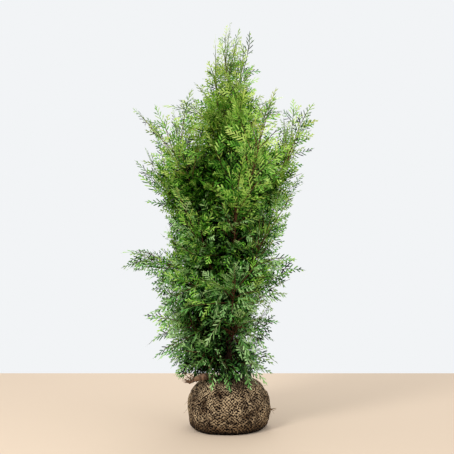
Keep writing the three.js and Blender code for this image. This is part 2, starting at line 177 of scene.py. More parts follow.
# Sprays are drawn in these lengths, each in some kinds, and scaled to fit
PATTERN_LENGTHS = (35, 50, 70, 95, 125)
PATTERN_KINDS = 4
# Forms of spray: the distance between branchlets, and their share of the full width, which is larger than
# life to show
CLOSE, OPEN, COARSE, FORKED = range(4)
PATTERN_STEPS = (9.5, 12.5, 9.0, 12.5)
PATTERN_WIDTHS = (1.22, 1.1, 1.8, 0.72)
# Flat blades as points in shares of their length and half width, and triangles: blunt, and two kites
BLUNT = (((0, 0), (0.3, -1), (0.8, -1), (1, 0), (0.8, 1), (0.3, 1)),
         ((0, 1, 5), (1, 2, 5), (2, 4, 5), (2, 3, 4)))
KITE, FORK = ((((0, 0), (wide, 1), (1, 0), (wide, -1)), ((0, 3, 2), (0, 2, 1))) for wide in (0.5, 0.6))
BLADE_CURVE = 0.16
# The share of branchlets that fork, the fork's angle in radians, and its size and place along them
FORKS, FORK_ANGLE, FORK_SIZE = 0.6, 0.62, 0.45
# Sprays deeper in the crown than this are coarse, and open ones above this height are forked
DEEP = 95
YOUNG_HEIGHT = 1430
OPEN_FORMS = 0.45
# A joined piece stays under this count of triangles
MOST_TRIANGLES = 190000

# By height: how much of the depth counts as painted shade, and how much painted light sprays get in their
# colour
SHADE_SHARES = ((500, 760, 1000, 1250, 1450), (1, 0.75, 0.8, 0.32, 0.06))
PAINTED_BRIGHTNESS = ((500, 900, 1300, 1550), (0.24, 0.22, 0.26, 0.36))
# Painted light stays whole to the first depth and fades into painted shade over the second
LIT_DEPTH, FADE_DEPTH = 14, 68
# The least painted light of sprays on the arm and at the outline, and how deep it holds
ARM_LIGHT, LEAST_LIGHT, LEAST_DEPTH = 0.6, 0.25, 40
# How many shades a branchlet is lighter at the tip than at the foot
TIP_SHADES = 2.2
# Rows of greens over the plant's height: how many it rises through, where it starts, and chance
PLANT_HEIGHT = 1900
HUE_RISE, HUE_START, HUE_CHANCE = 2.6, -0.55, 1.1
# Blue-green of the low and shaded sprays, green of the middle, yellow-green of the young top
# Each row runs from near-black painted shade, deep in the crown, to painted light at the outline
LEAF_GREENS = (
    ("#020601", "#142C0C", "#325E26", "#588E40", "#7CAC5C", "#A2C682"),
    ("#020601", "#142E08", "#2E6214", "#529026", "#76AE38", "#A2C858"),
    ("#0E1E05", "#304E10", "#567E20", "#7CA232", "#9CB848", "#B8CE66"),
)

# Lamps in metres and watts: name, place, size and power
LAMPS = (
    ("key", (-2.2, -3.0, 3.6), 1.1, 130),
    ("fill", (2.8, -2.4, 2.2), 2.4, 18),
    ("back", (0.3, 3.2, 3.4), 2.4, 50),
)
LAMPS_AIM = (0, 0, 0.9)
# The lens stands a little left of the trunk, in metres, and looks up a little from level, which is 90
CAMERA_ASIDE, CAMERA_PITCH = -0.0047, 90.63


def colour(hex_text):
    """An sRGB hex colour as linear red, green, blue and alpha."""
    parts = [int(hex_text[i:i + 2], 16) / 255 for i in (1, 3, 5)]
    return [c / 12.92 if c <= 0.04045 else ((c + 0.055) / 1.055) ** 2.4 for c in parts] + [1.0]


def seeded_numbers(seed):
    """Numbers from 0 to 1 by the same rule as in the part's source."""
    state = seed * 7919 + 1
    while True:
        state = (state * 16807) % 2147483647
        yield state / 2147483647


def draws(number, count):
    """So many numbers, drawn one after another."""
    return np.array([next(number) for _ in range(count)])


def unit(vectors):
    """Vectors at length one."""
    return vectors / np.linalg.norm(vectors, axis=-1, keepdims=True)


def heading(degrees):
    """The level direction at that turn from the right."""
    turn = math.radians(degrees)
    return np.array([math.cos(turn), math.sin(turn), 0.0])


def all_round(sides):
    """Even turns all the way round, in radians."""
    return np.arange(sides) * (2 * math.pi / sides)


def ramp(values, start, length):
    """0 up to a start, rising to 1 over a length."""
    return np.clip((values - start) / length, 0, 1)


def curve(knots, share):
    """Points along the curve of three knots, at shares of it."""
    start, bend, end = knots
    return start * (1 - share) ** 2 + bend * 2 * share * (1 - share) + end * share ** 2


def smooth_noise(points, size, seed):
    """Even noise from -1 to 1 at points, with features of about that size."""
    number = seeded_numbers(seed)
    total = np.zeros(len(points))
    waves = 9
    for _ in range(waves):
        direction = unit(draws(number, 3) - 0.5)
        stretch = 0.7 + 0.9 * next(number)
        total += np.sin(points @ direction * (2 * math.pi / size) * stretch + 2 * math.pi * next(number))
    return total / math.sqrt(waves)


# Meshes
def link(name, data):
    """A new object in the scene."""
    made = bpy.data.objects.new(name, data)
    bpy.context.scene.collection.objects.link(made)
    return made


def make_piece(name, points, faces, materials, face_materials=None, smooth=True, weave=None):
    """A mesh object from arrays in millimetres, riding with the plant."""
    mesh = bpy.data.meshes.new(name)
    mesh.from_pydata(points * MM, [], faces)
    for material in materials:
        mesh.materials.append(material)
    if face_materials is not None:
        mesh.polygons.foreach_set("material_index", face_materials.astype(np.int32))
    mesh.polygons.foreach_set("use_smooth", np.full(len(faces), smooth))
    if weave is not None:
        layer = mesh.uv_layers.new(name="weave")
        layer.data.foreach_set("uv", weave[faces.ravel()].astype(np.float32).ravel())
    mesh.update()
    mesh.validate()
    piece = link(name, mesh)
    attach(piece, "root")
    return piece


def square_to(along):
    """Two directions square to each of these and to one another."""
    across = unit(np.cross(np.where(np.abs(along[:, 2:]) > 0.9, AHEAD, UP), along))
    return across, np.cross(along, across)


def tubes(paths, radii, sides, turn_radii=1):
    """Tapering closed tubes along many paths at once, as points and triangles."""
    count, rings = paths.shape[:2]
    along = unit(np.gradient(paths, axis=1))
    upright = np.abs(along[:, :, 2].mean(axis=1)) > 0.8
    across = unit(np.cross(np.where(upright[:, None], AHEAD, UP)[:, None, :], along))
    over = np.cross(along, across)
    turns = all_round(sides)[:, None]
    spoke = across[:, :, None] * np.cos(turns) + over[:, :, None] * np.sin(turns)
    points = (paths[:, :, None] + spoke * (radii[:, :, None] * turn_radii)[..., None]).reshape(-1, 3)
    low = np.arange((rings - 1) * sides).reshape(-1, sides)
    after = np.roll(low, -1, axis=1)
    walls = [np.stack(three, axis=-1) for three in (
        (low, after, after + sides), (low, after + sides, low + sides))]
    fan = np.arange(1, sides - 1)
    caps = [np.stack([fan * 0, fan + 1, fan], axis=1), np.stack([fan * 0, fan, fan + 1], axis=1) + low.size]
    one = np.concatenate([np.stack(walls, axis=1).reshape(-1, 3), *caps])
    starts = (np.arange(count) * rings * sides)[:, None, None]
    return points, (one + starts).reshape(-1, 3)


def joined(parts):
    """Several (points, faces) as one."""
    starts = np.cumsum([0] + [len(points) for points, _ in parts[:-1]])
    return (np.concatenate([points for points, _ in parts]),
            np.concatenate([faces + start for (_, faces), start in zip(parts, starts)]))


# Materials
def set_inputs(tree, node, inputs):
    """Links or sets a node's inputs. A node given as an input stands for its first output."""
    for key, value in dict(inputs).items():
        if isinstance(value, bpy.types.Node):
            value = value.outputs[0]
        if isinstance(value, bpy.types.NodeSocket):
            tree.links.new(value, node.inputs[key])
        else:
            node.inputs[key].default_value = value


def add_node(tree, kind, inputs=(), stops=(), **settings):
    """Adds a node with its settings and inputs, and gives a colour ramp its (place, colour) stops."""
    node = tree.nodes.new("ShaderNode" + kind)
    for name, value in settings.items():
        setattr(node, name, value)
    set_inputs(tree, node, inputs)
    for number, (place, shade) in enumerate(stops):
        elements = node.color_ramp.elements
        element = elements[number] if number < 2 else elements.new(place)
        element.position = place
        element.color = colour(shade) if isinstance(shade, str) else (*shade, 1)
    return node


def new_material(name, roughness, shine):
    """A material with only its shader, and the tree and shader to add to."""
    material = bpy.data.materials.new(name)
    material.use_nodes = True
    tree = material.node_tree
    shader = tree.nodes["Principled BSDF"]
    set_inputs(tree, shader, {"Roughness": roughness, "Specular IOR Level": shine})
    return material, tree, shader


def worn_weave(tree, here):
    """How much of the thread shows, from 0 in the soil between threads to over 1 on a whole thread.

    The real threads lie about 3 mm apart, too fine for a view of the whole plant, so they are drawn as a net
    of about 17 mm. It wanders over 38 mm and frays over 7. Soil fills it in patches of 22 mm and speckles it
    in grains of 8 mm.
    """
    wander, fray, patches, grains = (
        add_node(tree, "TexNoise", {"Vector": here, "Scale": 1 / (size * MM), "Detail": detail})
        for size, detail in ((38, 3.0), (7, 3.0), (22, 3.0), (8, 5.0)))
    place = add_node(tree, "UVMap", uv_map="weave")
    split = add_node(tree, "SeparateXYZ", {"Vector": place})
    around, along = (
        add_node(tree, "Math", {0: noise, 1: amount, 2: split.outputs[axis]}, operation="MULTIPLY_ADD")
        for noise, amount, axis in ((wander, 3.0, "X"), (fray, 0.8, "Y")))
    threads = []
    for operation in ("ADD", "SUBTRACT"):
        lean = add_node(tree, "Math", {0: around, 1: along}, operation=operation)
        turn = add_node(tree, "Math", {0: lean, 1: 2 * math.pi}, operation="MULTIPLY")
        wave = add_node(tree, "Math", {0: turn}, operation="SINE")
        threads.append(add_node(tree, "Math", {0: wave, 1: 0.5, 2: 0.5}, operation="MULTIPLY_ADD"))
    weave = add_node(tree, "Math", {0: threads[0], 1: threads[1]}, operation="MAXIMUM")
    filled = add_node(tree, "Math", {0: patches, 1: 0.5}, operation="ADD")
    speckle = add_node(tree, "Math", {0: grains, 1: 2.4, 2: -1.2}, operation="MULTIPLY_ADD")
    return add_node(tree, "Math", {0: weave, 1: filled, 2: speckle}, operation="MULTIPLY_ADD")


def hessian(name, thread, soil, stain):
    """Jute hessian, loosely woven on the bias round moist soil: dull, hairy threads with dark gaps, and
    painted shadow at its foot.
    """
    material, tree, shader = new_material(name, 0.95, 0.1)
    here = add_node(tree, "TexCoord").outputs["Object"]
    worn = worn_weave(tree, here)
    cloth = add_node(tree, "ValToRGB", {"Fac": worn}, ((0.58, soil), (0.76, stain), (0.98, thread)))
    # Clay has soaked through in patches of 60 mm
    clay = add_node(tree, "TexNoise", {"Vector": here, "Scale": 1 / (60 * MM), "Detail": 4.0})
    patch = add_node(tree, "ValToRGB", {"Fac": clay}, ((0.3, "#6E6058"), (0.6, "#FFFFFF")))
    # Painted contact shadow darkens the lowest 60 mm, darkest in the lowest 4 mm
    up = add_node(tree, "SeparateXYZ", {"Vector": here})
    rise = add_node(tree, "Math", {0: up.outputs["Z"], 1: 1 / (100 * MM)}, operation="MULTIPLY")
    painted_foot_shadow = add_node(tree, "ValToRGB", {"Fac": rise}, ((0.04, "#1C1512"), (0.3, "#A89C92"), (0.6, "#FFFFFF")))
    shown = cloth.outputs["Color"]
    # Multiplies in the clay patches and the painted shadow at the foot
    for clay_and_painted_shadow in (patch, painted_foot_shadow):
        mix = add_node(tree, "Mix", {
            "Factor": 1.0, MIX_FIRST: shown, MIX_SECOND: clay_and_painted_shadow}, data_type="RGBA", blend_type="MULTIPLY")
        shown = mix.outputs[MIX_RESULT]
    relief = add_node(tree, "Bump", {"Height": worn, "Distance": 4 * MM})
    set_inputs(tree, shader, {"Base Color": shown, "Normal": relief})
    return material


def fibrous_bark(name, ridge, cleft, size):
    """Fibres in thin strips, as thuja bark grows and jute is spun: dull, with dark clefts along the stem."""
    material, tree, shader = new_material(name, 0.88, 0.2)
    here = add_node(tree, "TexCoord").outputs["Object"]
    # Strips are about eight times as long as they are wide
    stretched = add_node(tree, "Mapping", {"Vector": here, "Scale": (1.0, 1.0, 0.13)})
    strips = add_node(tree, "TexNoise", {"Vector": stretched, "Scale": 1 / (size * MM), "Detail": 4.0})
    shades = add_node(tree, "ValToRGB", {"Fac": strips}, ((0.35, cleft), (0.62, ridge)))
    relief = add_node(tree, "Bump", {"Height": strips, "Distance": 1.5 * MM})
    set_inputs(tree, shader, {"Base Color": shades, "Normal": relief})
    return material


def scale_leaves_in_painted_shades():
    """Living thuja leaves, pressed scales with a thin wax: satin greens, each row in steps from painted shade
    to painted light, dealt out by spray and tip.
    """
    made = []
    for row, greens in zip(("shaded", "grown", "young"), LEAF_GREENS):
        for number, green in enumerate(greens):
            # The wax shines on leaves in painted light and hardly on those in painted shade
            material, _, shader = new_material(f"{row}_scale_leaves_{number}", 0.45, 0.02 + 0.07 * number)
            shader.inputs["Base Color"].default_value = colour(green)
            made.append(material)
    return made


# Root ball
def ball_outline(settings):
    """Radius, height and length along the outline from the middle of the foot to the middle of the top."""
    rim, foot, seat, top = settings.width / MM / 2, BALL_FOOT / 2, BALL_SEAT / 2, settings.height / MM
    belly, shoulder = np.linspace(0, math.pi / 2, 40), np.linspace(0, math.pi / 2, 90)[1:]
    radius = np.concatenate([
        [0.0], foot + (rim - foot) * np.sin(belly),
        seat + (rim - seat) * np.cos(shoulder) ** BALL_FULLNESS, [0.0]])
    height = np.concatenate([
        [0.0], BALL_BELLY * (1 - np.cos(belly)), BALL_BELLY + (top - BALL_BELLY) * np.sin(shoulder), [top]])
    radius[-2] = seat
    length = np.concatenate([[0.0], np.cumsum(np.hypot(np.diff(radius), np.diff(height)))])
    even = np.linspace(0, length[-1], BALL_ROWS)
    return np.interp(even, length, radius), np.interp(even, length, height), even


def ball_lump(turn, height):
    """The ball's uneven shape, as a share of its radius."""
    return BALL_LUMP * sum(
        share * np.sin(lobes * turn + start + height / climb) for lobes, start, climb, share in BALL_LOBES)


def cloth_relief(turn, radius, height, threads):
    """How far the cloth stands out over soil and threads, and in at its folds and creases."""
    around = np.stack([np.cos(turn) * radius, np.sin(turn) * radius, height], axis=1)
    lumps = sum(out * smooth_noise(around, size, seed) for out, size, seed in SOIL_LUMPS)
    gathered = ramp(height, FOLD_FOOT, FOLD_FOOT)
    folds = np.abs(np.sin(FOLDS * turn + 1.6 * np.sin(2 * turn) + height / 80)) ** 0.6 * gathered
    out = ramp(radius, 0, BALL_FOOT / 2) * (lumps - FOLD_DEPTH * (1 - folds) * gathered + 0.7 * threads)
    for towards, middle, half in CREASES:
        off = turn - math.radians(towards) + 0.15 * np.sin(height / 17)
        aside = (np.mod(off + math.pi, 2 * math.pi) - math.pi) * radius
        out -= CREASE_DEPTH * np.exp(-(aside / CREASE_WIDTH) ** 2 - ((height - middle) / half) ** 2)
    # It sags smooth where it meets the ground
    return out * ramp(height, 0, SAG_HEIGHT)


def ball_mesh(settings):
    """The wrapped ball's points and faces, and where each point lies in the weave."""
    radius, height, length = (np.repeat(values, BALL_SIDES) for values in ball_outline(settings))
    turn = np.tile(all_round(BALL_SIDES), BALL_ROWS)
    # The weave lies on the bias, so its threads run both ways round the ball as they rise
    lean = turn / (2 * math.pi) * settings.threads
    run = length / (math.pi * BALL_FOOT / settings.threads)
    threads = np.maximum(np.cos(2 * math.pi * (lean + run)), np.cos(2 * math.pi * (lean - run)))
    seat = height > settings.height / MM - 1
    out = radius * (1 + ball_lump(turn, height) * ~seat) + cloth_relief(turn, radius, height, threads)
    # The cloth is drawn up a little round the trunk
    rise = seat * np.clip(1 - radius / (BALL_SEAT / 2), 0, 1) * SEAT_RISE
    points = np.stack([np.cos(turn) * out, np.sin(turn) * out, height + rise], axis=1)
    index = np.arange(len(points)).reshape(BALL_ROWS, BALL_SIDES)
    low, high = index[:-1], index[1:]
    faces = np.stack([low, np.roll(low, -1, 1), np.roll(high, -1, 1), high], axis=-1).reshape(-1, 4)
    return points, faces, np.stack([lean, run], axis=1)


class ThujaBallSettings(bpy.types.PropertyGroup):
    """Sizes and colours of the root ball."""
    width: FloatProperty(name="Width", description="Width of the ball", default=0.386, unit="LENGTH")
    height: FloatProperty(name="Height", description="Height of the ball", default=0.236, unit="LENGTH")
    threads: IntProperty(name="Threads", description="Threads of the weave round the ball", default=70)
    thread: FloatVectorProperty(
        name="Thread", description="Colour of the jute", subtype="COLOR", default=colour("#D0B690")[:3])


class ThujaCrownSettings(bpy.types.PropertyGroup):
    """How the crown grows."""
    seed: IntProperty(name="Seed", description="Seed of the limbs", default=3)
    places: IntProperty(name="Places", description="Places for branches along each stem", default=14)
    tries: IntProperty(name="Branches a place", description="Branches tried at each place", default=18)
    apart: FloatProperty(
        name="Apart", description="Least distance between branches", default=0.034, unit="LENGTH")
    long_shoots: FloatProperty(
        name="Long shoots", description="Share of branches that stand out", default=0.22, subtype="FACTOR")
    outline_first: FloatProperty(
        name="Outline first", description="How far branches at the outline go before others", default=0.6)
    leaf_width: FloatProperty(
        name="Branchlet width", description="Width of one branchlet", default=0.0048, unit="LENGTH")


class ThujaStageSettings(bpy.types.PropertyGroup):
    """Camera, floor and light."""
    distance: FloatProperty(
        name="Camera distance", description="From the camera to the trunk", default=4.0, unit="LENGTH")
    eye: FloatProperty(name="Camera height", description="Height of the lens", default=0.894, unit="LENGTH")
    lens: FloatProperty(name="Lens", description="Focal length in millimetres", default=67.5, unit="CAMERA")
    floor: FloatVectorProperty(
        name="Floor", description="Colour of the floor", subtype="COLOR", default=colour("#D0BCA6")[:3])
    wall: FloatVectorProperty(
        name="Surround", description="Colour of the surround", subtype="COLOR", default=colour("#F2F4F6")[:3])


# Wood
def ball_top():
    """Height of the ball's top in millimetres."""
    return bpy.context.scene.thuja_ball.height / MM


def trunk_share(height):
    """How far up the trunk a height is, as a share."""
    return (height - ball_top()) / (TRUNK_TOP - ball_top())


def trunk_point(height):
    """The trunk's middle at a height: a slight lean and one slow sway."""
    share = trunk_share(height)
    wave = 2 * math.pi * share
    return np.stack([
        TRUNK_LEAN * share + TRUNK_SWAY * np.sin(wave), TRUNK_SWAY * (1 - np.cos(wave)) / 2, height], axis=-1)


def trunk_radius(height):
    """The trunk's radius at a height: a steady taper over the root flare."""
    flare = FLARE * np.exp(-(height - ball_top()) / FLARE_HEIGHT)
    return TRUNK_FOOT_RADIUS + (TRUNK_TIP_RADIUS - TRUNK_FOOT_RADIUS) * trunk_share(height) + flare


class Limb:
    """One limb's curve, from the trunk's middle through its bare bough to the end of its stem."""

    def __init__(self, tier, name, root, out, size, reach, rise, arch, spray, bough, lift):
        self.tier, self.name, self.spray, self.bough, self.lift = tier, name, spray * size, bough, lift
        reach, rise = reach * size, rise * size
        bend = root + out * (reach * (1 + arch) / 2) + UP * (rise * (1 - arch) / 2)
        self.knots = (root, bend, root + out * reach + UP * rise)

    def points(self, share):
        """Points along the curve at shares of it."""
        return curve(self.knots, np.asarray(share)[:, None])

    def tangents(self, share):
        """Directions of the curve at shares of it."""
        s = np.asarray(share)[:, None]
        root, bend, end = self.knots
        return unit((bend - root) * 2 * (1 - s) + (end - bend) * 2 * s)


def make_limbs(seed):
    """All limbs by the source's rule."""
    number = seeded_numbers(seed)
    made = []
    for tier, count, turn, leave, reach, rise, arch, left, bough, lift, spray in TIERS:
        for i in range(count):
            kind = (reach, rise, arch, spray, bough, lift)
            if len(made) == ARM_NUMBER:
                kind = (*ARM, bough, ARM_LIFT)
            towards = turn + i * 360 / count + (next(number) - 0.5) * TURN_JITTER
            root = trunk_point(np.float64(leave + (next(number) - 0.5) * LEAVE_JITTER))
            size = 1 + (next(number) - 0.5) * REACH_JITTER - left * math.cos(math.radians(towards))
            made.append(Limb(tier, f"{tier}_{i + 1}", root, heading(towards), size, *kind))
    name, reach, rise, arch, bough, lift, spray = LEADER
    root = trunk_point(np.float64(TRUNK_TOP))
    made.append(Limb(name, name, root, heading(180), 1, reach, rise, arch, spray, bough, lift))
    return made


# Space of the crown
def inside(points, left, right):
    """How far inside an outline of the crown points are, in millimetres, level with the ground."""
    out = np.linalg.norm(points[:, :2], axis=1)
    to_left, to_right = (np.interp(points[:, 2], CROWN_HEIGHTS, widths) for widths in (left, right))
    return to_left + (to_right - to_left) * (1 + points[:, 0] / np.maximum(out, 1)) / 2 - out


def body_depth(points):
    """How far inside the full crown points are."""
    return inside(points, BODY_LEFT, BODY_RIGHT)


def clear_of_wood_and_ball(points, settings):
    """Whether points lie outside the trunk, the ball and the two places left bare."""
    top = settings.height / MM
    height = np.clip(points[:, 2], top, TRUNK_TOP)
    out = np.linalg.norm(points[:, :2] - trunk_point(height)[:, :2], axis=1)
    clear = (points[:, 2] > TRUNK_TOP) | (out > trunk_radius(height))
    seat, rim = BALL_SEAT / 2, settings.width / MM / 2 * (1 + 2 * BALL_LUMP)
    from_axis = np.linalg.norm(points[:, :2], axis=1)
    cosine = ramp(from_axis, seat, rim - seat) ** (1 / BALL_FULLNESS)
    ball = np.where(from_axis < rim, BALL_BELLY + (top - BALL_BELLY) * np.sqrt(1 - cosine ** 2), 0)
    low, high = (np.array(corner) for corner in KNOT_WINDOW)
    over_knot = np.all((points > low) & (points < high), axis=1)
    middle, half = (np.array(place) for place in FRONT_HOLLOW)
    hollow = np.linalg.norm((points - middle) / half, axis=1) < 1
    return clear & ~over_knot & ~hollow & (points[:, 2] > np.maximum(ball + LIMB_GAP, CROWN_FOOT))


class Shoots(namedtuple("Shoots", "start along bend face length mass tone")):
    """Shoots as arrays: where each starts, which way it runs, bends and faces, its length, mass and tone."""

    def of(self, chosen):
        """These of the shoots."""
        return Shoots(*(values[chosen] for values in self))

    def points(self, share):
        """A point on each shoot at that share of its length."""
        share = np.broadcast_to(share, self.length.shape)[:, None]
        return self.start + (self.along * share + self.bend * share ** 2) * self.length[:, None]

    def tangents(self, share):
        """Each shoot's direction at that share of its length."""
        share = np.broadcast_to(share, self.length.shape)[:, None]
        return unit(self.along + 2 * self.bend * share)


def limb_allows(shoots, points):
    """The long arm alone may leave the outline, in a slim band of its own."""
    low, climb, high, half = ARM_BAND
    level = (points[:, 2] > low - climb * points[:, 0]) & (points[:, 2] < high)
    return (shoots.mass == ARM_NUMBER) & level & (np.abs(points[:, 1]) < half)


def fits(shoots, settings, depth, shares, long_shoot=True):
    """Whether each shoot stays clear of the wood and the ball, and that deep inside its outline."""
    good = np.ones(len(shoots.length), bool)
    for share in shares:
        points = shoots.points(share)
        within = np.where(long_shoot, inside(points, SHOOTS_LEFT, SHOOTS_RIGHT), body_depth(points))
        good &= clear_of_wood_and_ball(points, settings) & ((within > depth) | limb_allows(shoots, points))
        # The solids' box may be passed by 2 mm
        good &= np.all((points > CAD_BOX_MM[0] - 2) & (points < CAD_BOX_MM[1] + 2), axis=1)
    return good


# Growth
def branch_rows(limbs, settings):
    """What is drawn for a branch: mass, share, spread, turn, roll, length, bend aside and over, and tone."""
    rows = []
    for mass, limb in enumerate(limbs):
        number = seeded_numbers(100 + mass)
        turn = next(number) * 360
        # Masses that start at the trunk fill the middle by themselves, and spread wider
        close, arm, leader = limb.bough == 0, mass == ARM_NUMBER, limb.name == LEADER[0]
        wide = LEADER_SPREAD if leader else CLOSE_SPREAD if close else BOUGH_SPREAD
        bare = limb.bough * BARE_BOUGH
        for place in range(settings.places, -1, -1):
            share = bare + (1 - bare) * min(1, (place + 0.4) / settings.places)
            spread = TIP_SPREAD + wide * (1 - place / settings.places) ** 0.6
            for _ in range(settings.tries * (1 + (close or arm))):
                opened, rolled, size, *bends, tone = draws(number, 6) - 0.5
                length = limb.spray * (0.8 + 0.6 * size) * (ARM_SPRAY if arm or leader else 1)
                rows.append((mass, share, spread + opened * SPREAD_JITTER, turn, rolled * ROLL_JITTER, length,
                             *bends, tone + 0.5))
                turn += GOLDEN_TURN
    return np.array(rows)


def try_branches(limbs, settings):
    """All leafy branches that the rule tries along each limb, from its tip down."""
    rows = branch_rows(limbs, settings)
    mass = rows[:, 0].astype(int)
    start, tangent = np.zeros((2, len(rows), 3))
    for number, limb in enumerate(limbs):
        mine = mass == number
        start[mine], tangent[mine] = limb.points(rows[mine, 1]), limb.tangents(rows[mine, 1])
    lift = np.array([limb.lift for limb in limbs])[mass]
    across, over = square_to(tangent)
    spread, turn, roll = (np.radians(rows[:, i])[:, None] for i in (2, 3, 4))
    aside = across * np.cos(turn) + over * np.sin(turn)
    along = unit(tangent * np.cos(spread) + aside * np.sin(spread) + UP * lift[:, None])
    edge = unit(np.cross(tangent, along))
    face = unit(np.cross(along, edge) * np.cos(roll) + edge * np.sin(roll))
    droop = UP * (BEND_UP * lift - BEND_DOWN)[:, None]
    bend = droop + edge * BEND_ASIDE * rows[:, 6:7] + np.cross(along, edge) * BEND_OVER * rows[:, 7:8]
    return Shoots(start, along, bend, face, rows[:, 5], mass, rows[:, 8])


def openness(branches):
    """How open each branch is, from 0 to 1: more so towards the outside, in the shoulders and at the top."""
    end = branches.points(1)
    shoulder = ramp(end[:, 2], *SHOULDER_OPENS) * ramp(np.linalg.norm(end[:, :2], axis=1), *SHOULDER_OUT)
    place = np.maximum(shoulder, 1.4 * ramp(end[:, 2], *TOP_OPENS))
    return np.clip(0.5 * np.clip(1 - body_depth(end) / OPEN_DEPTH, 0, 1) + 0.5 * place, 0, 1)


def fit_lengths(tried, ball, depth, long_shoot):
    """Gives each branch the longest length that fits, and says which fit at one."""
    full = tried.length * np.where(long_shoot, LONG_LENGTH, 1)
    fitted = np.zeros(len(full), bool)
    for size in LENGTH_TRIES:
        tried.length[:] = np.where(fitted, tried.length, full * size)
        waiting = np.flatnonzero(~fitted)
        fitted[waiting] = fits(tried.of(waiting), ball, depth[waiting], (0.5, 1.1), long_shoot[waiting])
    return fitted & (tried.length > LEAST_LENGTH)


def spaced_out(tried, crown, number):
    """Which branches stay, so that they stand apart, with those that shape the outline first."""
    late = ramp(body_depth(tried.points(1)), 0, FIRST_DEPTH)
    closer = np.where(tried.points(1)[:, 2] < TOP_HEIGHT, 1, TOP_CLOSER)
    closer = closer * np.where(tried.mass == ARM_NUMBER, ARM_CLOSER, 1)
    apart = crown.apart / MM * (1 + OPEN_APART * openness(tried) * closer)
    ends = np.stack([tried.points(0.6), tried.points(1)], axis=1)
    kept = []
    for i in np.argsort(draws(number, len(late)) + crown.outline_first * late):
        near = ends[kept].reshape(-1, 2, 3)
        if not kept or np.linalg.norm(near - ends[i], axis=2).min() > apart[i]:
            kept.append(i)
    return np.array(sorted(kept))


def grow_branches(limbs, crown, ball):
    """The branches that fit, each at the longest allowed length, and thinned where they crowd."""
    tried = try_branches(limbs, crown)
    number = seeded_numbers(17)
    long_shoot = draws(number, len(tried.length)) < crown.long_shoots
    ragged = np.where(long_shoot, LONG_DEPTH, RAGGED_DEPTH * draws(number, len(tried.length)))
    ragged = ragged * np.interp(tried.points(1)[:, 2], *RAGGED_SHARES)
    fine = fit_lengths(tried, ball, ragged, long_shoot)
    tried, long_shoot = tried.of(fine), long_shoot[fine]
    kept = spaced_out(tried, crown, number)
    tried, long_shoot = tried.of(kept), long_shoot[kept]
    # Long shoots grow on where they still end 3 mm inside the outline
    longer = tried.of(long_shoot)
    longer.length[:] *= GROW_ON
    room = fits(longer, ball, 3, (1, 1.1))
    tried.length[np.flatnonzero(long_shoot)[room]] *= GROW_ON
    return tried


def spray_rows(branches):
    """What is drawn for each spray: its branch, share, angle, roll, size, tilt and curl."""
    number = seeded_numbers(5)
    rows = []
    for i, (length, open_end) in enumerate(zip(branches.length, openness(branches))):
        end_size = min(END_LONGEST, END_SHARE * length) * (0.85 + 0.3 * next(number))
        end_share = 1 - 0.8 * end_size / length
        count = max(2, round(length * end_share / (SPRAY_STEP + SPRAY_STEP * open_end)))
        for j in range(count + 1):
            # The last is the end spray, and the others turn left and right in turn
            end = j == count
            share = end_share if end else 0.1 + end_share * (j + 0.8 * next(number)) / count
            size = min(SIDE_LONGEST, SIDE_LEAST + SIDE_SHARE * length * (1.1 - share))
            size *= 0.75 + 0.45 * next(number)
            angle = (1 if j % 2 else -1) * (SIDE_ANGLE - SIDE_ANGLE_LESS * share)
            angle = 0 if end else angle + SPRAY_JITTER * (next(number) - 0.5)
            roll, tilt, curl = (draws(number, 3) - 0.5) * (SPRAY_ROLL, SPRAY_TILT, SPRAY_CURL)
            rows.append((i, share, angle, roll, end_size if end else size, tilt, curl))
    return np.array(rows)


def grow_sprays(branches, ball):
    """A long spray that ends each branch, and sprays left and right below it, in the branch's own plane."""
    branch, share, angle, roll, size, tilt, curl = spray_rows(branches).T
    angle, roll = np.radians(angle)[:, None], np.radians(roll)[:, None]
    bearing = branches.of(branch.astype(int))
    along = bearing.tangents(share)
    side = unit(np.cross(bearing.face, along))
    face = np.cross(along, side)
    way = unit(along * np.cos(angle) + side * np.sin(angle) + face * tilt[:, None] * np.sin(np.abs(angle)))
    edge = unit(np.cross(face, way))
    over = np.cross(way, edge) * np.cos(roll) + edge * np.sin(roll)
    bend = -SPRAY_DROOP * UP + edge * curl[:, None] + bearing.bend * (size / bearing.length)[:, None]
    sprays = Shoots(bearing.points(share), way, bend, over, size, bearing.mass, bearing.tone)
    return sprays.of(fits(sprays, ball, 0, (0.6, 1)))


# Sprays
def add_blade(pattern, start, angle, size, width, lift, tip, shape, bent=0):
    """Adds a flat blade to a pattern's points, triangles and tips."""
    points, faces, tips = pattern
    outline, triangles = shape
    forward = np.array([math.cos(angle), math.sin(angle), lift])
    side = np.array([-math.sin(angle), math.cos(angle), 0]) * width / 2
    faces.extend([[len(points) + corner for corner in triangle] for triangle in triangles])
    points.extend([
        start + forward * size * u + AHEAD * size * bent * u ** 2 + side * v for u, v in outline])
    tips.extend([tip] * len(triangles))


def add_branchlet(pattern, form, number, start, angle, size, width, lift, tip):
    """Adds an even, blunt branchlet, which may fork, or a plain kite deep in the crown."""
    tip += 2 * (next(number) - 0.5)
    shape = (KITE,) if form == COARSE else (BLUNT, BLADE_CURVE)
    add_blade(pattern, start, angle, size, width, lift, tip, *shape)
    if form == FORKED and angle and next(number) < FORKS:
        turned = angle + math.copysign(FORK_ANGLE, angle) * (1 if next(number) < FORKS else -1)
        forward = np.array([math.cos(angle), math.sin(angle), lift])
        foot = start + forward * size * FORK_SIZE + AHEAD * size * 0.03
        add_blade(pattern, foot, turned, size * FORK_SIZE, width * 2 * FORK_SIZE, lift, tip + 0.2, FORK)


